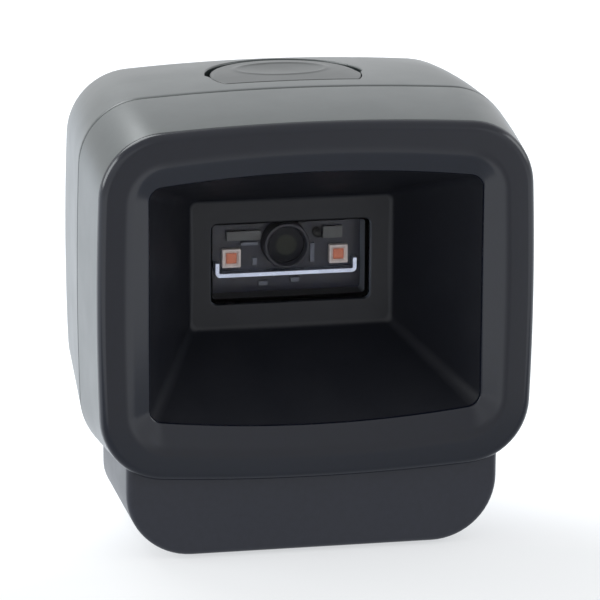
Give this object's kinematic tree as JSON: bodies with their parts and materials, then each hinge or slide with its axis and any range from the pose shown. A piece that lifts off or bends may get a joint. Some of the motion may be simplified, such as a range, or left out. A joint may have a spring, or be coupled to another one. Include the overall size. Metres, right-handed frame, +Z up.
{
  "type": "barcode scanner",
  "caption": "Compact hands-free imaging scanner: a cube-like head with a framed reading funnel and a round sprung key on top, on a narrower base block.",
  "frame": {"origin": "middle of the head's footprint, on the surface that the feet stand on", "axes": "+Z up, +X to the right of someone who looks at the window, -Y out of the reading funnel"},
  "size_m": [0.0808, 0.06, 0.0833],
  "materials": {
    "frame_gloss": "polished black, faintly blue",
    "funnel_dark": "fine matte texture",
    "window_clear": "clear pane",
    "seal_rubber": "closed foam",
    "shell_satin": "fine satin grain",
    "key_satin": "fine satin grain",
    "base_satin": "fine satin grain",
    "cover_matte": "matte",
    "foot_rubber": "matte rubber",
    "screw_steel": "zinc plated",
    "insert_brass": "turned brass",
    "socket_black": "moulded",
    "contact_gold": "gold plated",
    "board_green": "solder mask",
    "ribbon_film": "amber film",
    "chip_black": "moulded package",
    "capacitor_can": "drawn can",
    "buzzer_black": "moulded",
    "engine_navy": "dark blue solder mask",
    "part_silver": "tinned ends",
    "connector_grey": "moulded",
    "strip_bright": "bright sheet",
    "lamp_white": "white package",
    "emitter_orange": "phosphor fill",
    "lens_clear": "clear lens",
    "barrel_black": "blackened",
    "lens_coated": "coated lens",
    "chassis_dark": "moulded",
    "sensor_dark": "silicon under glass",
    "switch_black": "moulded",
    "plunger_red": "moulded"
  },
  "bodies": {
    "housing": {"front_frame": "frame_gloss", "reading_funnel": "funnel_dark", "exit_window": "window_clear", "window_seal": "seal_rubber", "front_shell": "shell_satin", "rear_shell": "shell_satin", "base_housing": "base_satin", "bottom_cover": "cover_matte", "foot_front_left": "foot_rubber", "foot_front_right": "foot_rubber", "foot_rear_left": "foot_rubber", "foot_rear_right": "foot_rubber", "cover_screws": "screw_steel", "shell_screws": "screw_steel", "neck_screws": "screw_steel", "stand_insert": "insert_brass", "cable_socket": "socket_black", "socket_contacts": "contact_gold", "socket_board": "board_green", "socket_board_screws": "screw_steel", "base_ribbon": "ribbon_film", "main_board": "board_green", "main_board_screws": "screw_steel", "processor": "chip_black", "memory_chip": "chip_black", "capacitors": "capacitor_can", "buzzer": "buzzer_black", "engine_board": "engine_navy", "engine_board_parts": "part_silver", "engine_connector": "connector_grey", "shield_strip": "strip_bright", "left_lamp": "lamp_white", "right_lamp": "lamp_white", "left_emitter": "emitter_orange", "right_emitter": "emitter_orange", "aimer_lamp": "connector_grey", "aimer_lens": "lens_clear", "lens_barrel": "barrel_black", "front_lens": "lens_coated", "rear_lens": "lens_coated", "engine_chassis": "chassis_dark", "engine_screws": "screw_steel", "sensor_board": "board_green", "image_sensor": "sensor_dark", "engine_ribbon": "ribbon_film", "key_board": "board_green", "key_board_screws": "screw_steel", "key_switch": "switch_black", "key_ribbon": "ribbon_film"},
    "key": {"trigger_key": "key_satin"},
    "plunger": {"switch_plunger": "plunger_red"}
  },
  "joints": [
    {"name": "key_press", "type": "hinge", "parent": "housing", "child": "key", "pos_m": [0, -0.00275, 0.07883], "axis": [-1, 0, 0], "range_deg": [0, 2.4], "stiffness_Nm_per_rad": 0.5},
    {"name": "plunger_slide", "type": "slide", "parent": "housing", "child": "plunger", "axis": [0, 0, -1], "range_m": [0, 0.0005]}
  ],
  "couplings": [
    {"joint": "plunger_slide", "follows": "key_press", "m_per_rad": 0.0099}
  ]
}
